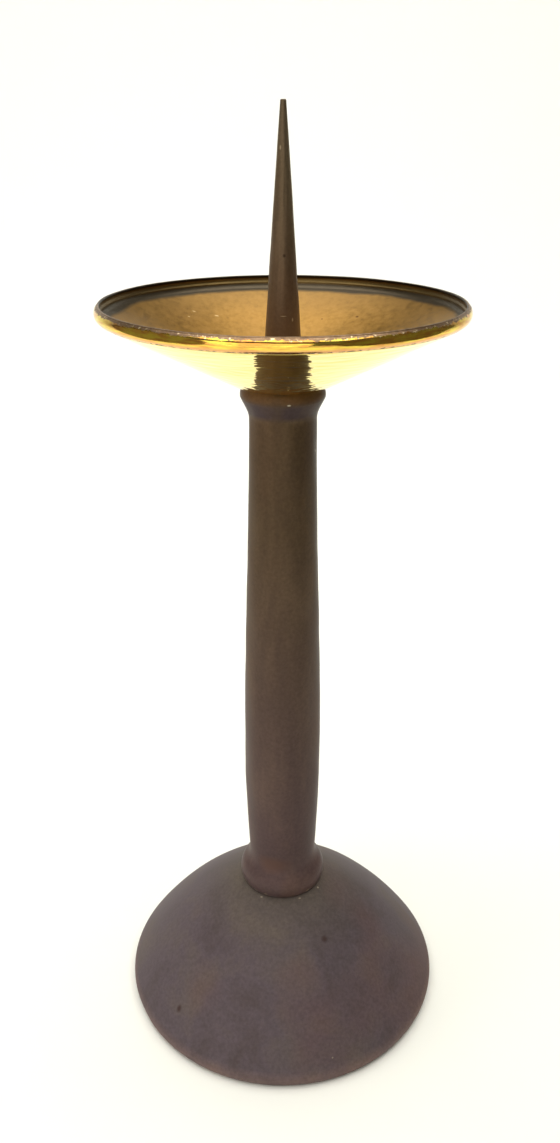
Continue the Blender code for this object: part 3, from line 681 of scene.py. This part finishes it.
def buildPan():
    size = panShape
    base = panLow[2]
    slope = math.tan(size["floorAngle"])
    crease = np.array([size["bandRadius"], panCrease])
    lip = circlePoints((size["lipRadius"] - size["lipRound"], panLip - size["lipRound"]), size["lipRound"],
                       math.radians(90), 0.0, 8)
    band = bulgedPoints(lip[-1], crease, size["bandBulge"], 28)
    coneFoot = size["bandRadius"] - size["rise"] / slope
    reach = coneFoot - size["flatRadius"]
    upSlope = np.array([math.cos(size["floorAngle"]), math.sin(size["floorAngle"])])
    coneLow = np.array([coneFoot, base]) + reach * upSlope
    rollBulge = reach * math.tan(size["floorAngle"] / 4) * math.cos(size["floorAngle"] / 2)
    roll = bulgedPoints(coneLow, (size["flatRadius"], base), rollBulge, 8)
    # the crease is a shallow groove just under the band
    grooveFar = crease - size["creaseWidth"] * upSlope
    groove = bulgedPoints(crease, grooveFar, -size["creaseDepth"], 6)
    underside = straightPoints(grooveFar, coneLow, 70)
    lift = size["sheet"] / math.cos(size["floorAngle"])
    wallRadius = size["lipRadius"] - size["sheet"]
    floorAtWall = panCrease - (size["bandRadius"] - wallRadius) * slope + lift
    cornerReach = size["cornerRadius"] * math.tan((math.pi / 2 - size["floorAngle"]) / 2)
    cornerCentre = (wallRadius - size["cornerRadius"], floorAtWall + cornerReach)
    corner = circlePoints(cornerCentre, size["cornerRadius"], size["floorAngle"] - math.pi / 2, 0.0, 14)
    innerLip = circlePoints((wallRadius + size["lipRound"], panLip - size["lipRound"]), size["lipRound"],
                            math.pi, math.pi / 2, 8)
    wall = bulgedPoints(corner[-1], innerLip[0], -size["wallHollow"], 14)
    topRoll = roll[::-1] + np.array([[0.0, size["sheet"]]])
    topRoll[-1] = coneLow + np.array([0.0, lift])
    floor = straightPoints(topRoll[-1], corner[0], 70)
    profile = joinRuns(lip, band, groove, underside, roll, straightPoints(roll[-1], (size["hole"], base), 6),
                       straightPoints((size["hole"], base + size["sheet"]), topRoll[0], 6), topRoll, floor,
                       corner, wall, innerLip[:-1])

    def push(angle, points):
        away = fadeIn(points[:, 0], *size["waveInner"])
        wave = handRipple(angle, points, size["waveSize"], size["waveDepth"], 21) * away[None, :]
        return wave + knocks(angle, points, size["dents"])

    piece = turnedPiece("dripPan", profile, size["steps"], push, sharp=26)
    standIn(piece, dulledBrass("dulledSpunBrass", panFloorLook), "drip_pan", "drip_pan")
    piece.data.materials.append(polishedBrass("polishedBrassBand", panBandLook))
    piece.data.materials.append(polishedBrass("polishedBrassUnderside", panUnderLook))
    # slot by place: 0 inside, 1 outside above the crease, 2 outside below it
    count = len(piece.data.polygons)
    centres = np.empty(count * 3, dtype=np.float32)
    normals = np.empty(count * 3, dtype=np.float32)
    piece.data.polygons.foreach_get("center", centres)
    piece.data.polygons.foreach_get("normal", normals)
    centres = centres.reshape(-1, 3)
    normals = normals.reshape(-1, 3)
    outward = (normals[:, :2] * centres[:, :2]).sum(axis=1) / np.hypot(centres[:, 0], centres[:, 1])
    above = centres[:, 2] > panCrease - 0.05 * mm
    zone = np.where(above & (outward > -0.15), 1, 0)
    zone = np.where(~above & (normals[:, 2] < 0), 2, zone)
    piece.data.polygons.foreach_set("material_index", zone.astype(np.int32))
    piece.data.update()


zincSteelLook = {"cloud": 6 * mm, "ringPitch": 0.35 * mm, "ringDepth": 0.01 * mm, "roughness": 0.38,
                 "tones": [(0.3, "#a9a9a6"), (0.7, "#c4c3bd")]}
turnedBrassLook = {"cloud": 8 * mm, "ringPitch": 0.3 * mm, "ringDepth": 0.015 * mm, "roughness": 0.36,
                   "tones": [(0.3, "#a98545"), (0.7, "#c9a55c")]}
rodShape = {"pitch": 1.25 * mm, "threadDepth": 0.6 * mm, "shank": 3.85 * mm, "chamfer": 0.8 * mm,
            "rowsInPitch": 8, "footThread": 27.5 * mm, "topThread": 22.5 * mm, "runOut": 0.5 * mm,
            "steps": 40}
ringShape = {"plateRound": 0.5 * mm, "bushChamfer": 0.5 * mm, "bore": 4.3 * mm, "seatGap": 0.6 * mm,
             "spigotGap": 0.3 * mm, "steps": 120}
washerShape = {"slitDegrees": 7.0, "slitPlace": 60.0, "skewDegrees": 7.0, "bevel": 0.2 * mm, "steps": 110}
nutShape = {"acrossFlats": 13.0 * mm, "chamferFrom": 6.15 * mm, "chamferSlope": math.tan(math.radians(30)),
            "boreChamfer": 0.6 * mm, "steps": 144}


def buildTieRod(steel):
    # threads at both ends: the radius drops by threadDepth times |2 frac(z / pitch - a / 2 pi) - 1|
    size = rodShape
    low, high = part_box("tie_rod")
    radius = high[0]
    bottom = low[2]
    top = high[2]
    footRows = round(size["footThread"] / size["pitch"]) * size["rowsInPitch"]
    topRows = round(size["topThread"] / size["pitch"]) * size["rowsInPitch"]
    topStart = top - size["chamfer"] - size["topThread"]
    footEnd = bottom + size["chamfer"] + size["footThread"]
    profile = joinRuns(
        (0.0, top), (radius - size["chamfer"], top),
        straightPoints((radius, top - size["chamfer"]), (radius, topStart), topRows),
        straightPoints((size["shank"], topStart - size["runOut"]),
                       (size["shank"], footEnd + size["runOut"]), 12),
        straightPoints((radius, footEnd), (radius, bottom + size["chamfer"]), footRows),
        (radius - size["chamfer"], bottom), (0.0, bottom))

    def push(angle, points):
        phase = points[None, :, 1] / size["pitch"] - angle[:, None] / (2 * np.pi)
        groove = np.abs(2 * (phase - np.floor(phase)) - 1)
        threaded = points[:, 0] > (radius + size["shank"]) / 2
        return -size["threadDepth"] * groove * threaded[None, :]

    piece = turnedPiece("tieRod", profile, size["steps"], push, section=False, sharp=50)
    standIn(piece, steel, "tie_rod", "stand")


def buildRings(steel, brass):
    size = ringShape
    low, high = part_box("crown_plate")
    edge = size["plateRound"]
    profile = joinRuns((size["bore"], high[2]),
                       circlePoints((high[0] - edge, high[2] - edge), edge, math.pi / 2, 0.0, 6),
                       (high[0], low[2]), (size["bore"], low[2]))
    plate = turnedPiece("crownPlate", profile, size["steps"])
    standIn(plate, steel, "crown_plate", "stand")
    cut = size["bushChamfer"]
    low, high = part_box("foot_bush")
    profile = joinRuns((size["bore"] + cut, high[2]), (high[0] - cut, high[2]), (high[0], high[2] - cut),
                       (high[0], low[2]), (size["bore"], low[2]), (size["bore"], high[2] - cut))
    footBush = turnedPiece("footBush", profile, size["steps"])
    standIn(footBush, brass, "foot_bush", "stand")
    low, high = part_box("top_bush")
    flange = high[2] - columnShape["seatDepth"] + size["seatGap"]
    spigot = columnShape["spigotHole"] - size["spigotGap"]
    profile = joinRuns((size["bore"] + cut, high[2]), (high[0] - cut / 2, high[2]),
                       (high[0], high[2] - cut / 2), (high[0], flange), (spigot, flange),
                       (spigot, low[2] + cut), (spigot - cut, low[2]), (size["bore"], low[2]),
                       (size["bore"], high[2] - cut))
    topBush = turnedPiece("topBush", profile, size["steps"])
    standIn(topBush, brass, "top_bush", "stand")


def buildWasher(steel):
    # split spring washer: a rectangular section carried round to just short of a full turn,
    # with its angle shifted in proportion to height so that the slit runs slantwise
    size = washerShape
    low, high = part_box("lock_washer")
    inner = ringShape["bore"]
    cut = size["bevel"]
    section = np.array([(inner + cut, high[2]), (high[0] - cut, high[2]), (high[0], high[2] - cut),
                        (high[0], low[2] + cut), (high[0] - cut, low[2]), (inner + cut, low[2]),
                        (inner, low[2] + cut), (inner, high[2] - cut)])
    gap = math.radians(size["slitDegrees"])
    turn = np.linspace(gap / 2, 2 * np.pi - gap / 2, size["steps"]) - math.radians(size["slitPlace"])
    middle = (low[2] + high[2]) / 2
    skew = (section[:, 1] - middle) / (high[2] - low[2]) * math.radians(size["skewDegrees"])
    angle = turn[:, None] + skew[None, :]
    points = np.stack([section[None, :, 0] * np.cos(angle), section[None, :, 0] * np.sin(angle),
                       np.repeat(section[None, :, 1], len(turn), axis=0)], axis=2)
    piece = gridPiece("lockWasher", points, ring=False)
    standIn(piece, steel, "lock_washer", "stand")


def buildNut(steel):
    # hexagon in polar form: radius = half the flats over cos(angle from the nearest flat);
    # past chamferFrom both faces fall away with the radius, which cuts the corners round
    size = nutShape
    low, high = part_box("hex_nut")
    angle = np.linspace(0, 2 * np.pi, size["steps"], endpoint=False)
    fromFlat = (angle + np.pi / 6) % (np.pi / 3) - np.pi / 6
    side = size["acrossFlats"] / 2 / np.cos(fromFlat)
    fall = (side - size["chamferFrom"]) * size["chamferSlope"]
    bore = ringShape["bore"]
    cut = size["boreChamfer"]
    flat = np.ones_like(angle)
    radius = np.stack([(bore + cut) * flat, size["chamferFrom"] * flat, side, side,
                       size["chamferFrom"] * flat, (bore + cut) * flat, bore * flat, bore * flat], axis=1)
    height = np.stack([high[2] * flat, high[2] * flat, high[2] - fall, low[2] + fall, low[2] * flat,
                       low[2] * flat, (low[2] + cut) * flat, (high[2] - cut) * flat], axis=1)
    points = np.stack([radius * np.cos(angle)[:, None], radius * np.sin(angle)[:, None], height], axis=2)
    piece = gridPiece("hexNut", points, sharp=20)
    standIn(piece, steel, "hex_nut", "stand")


stageShape = {"front": -2.6, "bend": 1.1, "bendRadius": 0.8, "height": 3.2, "halfWidth": 3.4}


def buildStage():
    # floor, quarter-circle bend and back wall in one sheet: straight, arc, straight
    size = stageShape
    turn = np.linspace(0, np.pi / 2, 24)
    path = np.vstack([straightPoints((size["front"], 0.0), (size["bend"], 0.0), 8),
                      np.stack([size["bend"] + size["bendRadius"] * np.sin(turn),
                                size["bendRadius"] * (1 - np.cos(turn))], axis=1)[1:],
                      straightPoints((size["bend"] + size["bendRadius"], size["bendRadius"]),
                                     (size["bend"] + size["bendRadius"], size["height"]), 6)[1:]])
    across = np.linspace(-size["halfWidth"], size["halfWidth"], 9)
    points = np.stack([np.repeat(across[:, None], len(path), axis=1),
                       np.repeat(path[None, :, 0], len(across), axis=0),
                       np.repeat(path[None, :, 1], len(across), axis=0)], axis=2)
    index = np.arange(points.shape[0] * points.shape[1]).reshape(points.shape[:2])
    quads = np.stack([index[:-1, :-1], index[1:, :-1], index[1:, 1:], index[:-1, 1:]], axis=2).reshape(-1, 4)
    mesh = bpy.data.meshes.new("backdrop")
    mesh.from_pydata(points.reshape(-1, 3).tolist(), [], quads.tolist())
    mesh.shade_smooth()
    backdrop = bpy.data.objects.new("backdrop", mesh)
    scene.collection.objects.link(backdrop)
    mesh.materials.append(dullSheet("mattPaper", "#f9faf6", 0.9))


def addSoftbox(name, place, target, width, height, power, hexColour, forShine=True, forMatt=True):
    # forShine and forMatt say whether reflections see it and whether it lights dull surfaces
    light = bpy.data.lights.new(name, "AREA")
    light.shape = "RECTANGLE"
    light.size = width
    light.size_y = height
    light.energy = power
    light.color = linearColour(hexColour)[:3]
    holder = bpy.data.objects.new(name, light)
    holder.location = place
    holder.rotation_euler = (Vector(target) - Vector(place)).to_track_quat("-Z", "Y").to_euler()
    holder.visible_camera = False
    holder.visible_glossy = forShine
    holder.visible_diffuse = forMatt
    scene.collection.objects.link(holder)


def addCard(name, centreDegrees, halfDegrees, radius, low, high, hexColour, forMatt=False):
    # oval card on a cylinder about the axis: angle = centre + half cos t, height = mid + half sin t.
    # It is there for the polished brass to reflect, so it throws no shadow and stays out of view;
    # forMatt makes it hold light back from the dull surfaces too
    turn = np.linspace(0, 2 * np.pi, 48, endpoint=False)
    share = np.linspace(0.01, 1.0, 8)
    angle = np.radians(centreDegrees - 90 + halfDegrees * share[None, :] * np.cos(turn)[:, None])
    height = (low + high) / 2 + (high - low) / 2 * share[None, :] * np.sin(turn)[:, None]
    points = np.stack([radius * np.cos(angle), radius * np.sin(angle), height], axis=2)
    card = gridPiece(name, points, True, False, cap=False)
    card.data.materials.append(dullSheet(name + "Felt", hexColour, 1.0))
    card.visible_camera = False
    card.visible_diffuse = forMatt
    card.visible_shadow = False


def lightStage():
    world = bpy.data.worlds.new("studio")
    scene.world = world
    world.use_nodes = True
    tree = world.node_tree
    tree.nodes.clear()
    # the room is dim, but past the paper's edge the view meets the same pale tone as the paper
    seen = addNode(tree, "ShaderNodeLightPath", out="Is Camera Ray")
    strength = addNode(tree, "ShaderNodeMapRange", {0: seen, 3: 0.14, 4: 1.05})
    room = addNode(tree, "ShaderNodeBackground", {"Color": "#f4f1ea", "Strength": strength})
    addNode(tree, "ShaderNodeOutputWorld", {"Surface": room})
    addSoftbox("overhead", (0.0, -0.25, 2.45), (0, -0.25, 0), 3.6, 3.6, 86, "#fffdf6")
    addSoftbox("window", (-0.55, -1.60, 0.62), (0, 0, 0.38), 2.3, 1.2, 13, "#fff4e2", forMatt=False)
    addSoftbox("leftFill", (-1.9, -0.7, 0.6), (0, 0, 0.25), 1.2, 1.0, 14, "#fff8ee", forShine=False)
    addSoftbox("backWash", (0.0, 0.2, 2.6), (0, 1.9, 1.2), 2.5, 0.8, 14, "#fffef8")
    addCard("leftCard", -75, 34, 0.55, 0.02, 0.76, "#86836f")
    addCard("rightCard", 66, 39, 0.55, 0.02, 0.74, "#625f4d", forMatt=True)
    addCard("rearCard", 180, 120, 1.0, 0.85, 1.75, "#625e50")


def addCamera():
    # close view from a little above the pan, looking down at the base
    camera = bpy.data.cameras.new("viewCamera")
    camera.sensor_width = 36.0
    camera.lens = 31.02
    camera.clip_start = 0.01
    holder = bpy.data.objects.new("viewCamera", camera)
    holder.location = (0.0, -0.455, 0.471)
    holder.rotation_euler = (math.radians(90 - 24.5), 0.0, math.radians(0.17))
    scene.collection.objects.link(holder)
    scene.camera = holder


buildDome()
print("dome done")
buildColumn()
print("column done")
buildSpike()
print("spike done")
buildPan()
print("drip pan done")
zincSteel = workshopMetal("zincPlatedSteel", zincSteelLook)
lathedBrass = workshopMetal("turnedBrass", turnedBrassLook)
buildTieRod(zincSteel)
buildRings(zincSteel, lathedBrass)
buildWasher(zincSteel)
buildNut(zincSteel)
print("fastenings done")
buildStage()
lightStage()
addCamera()
print("stage, light and camera done")
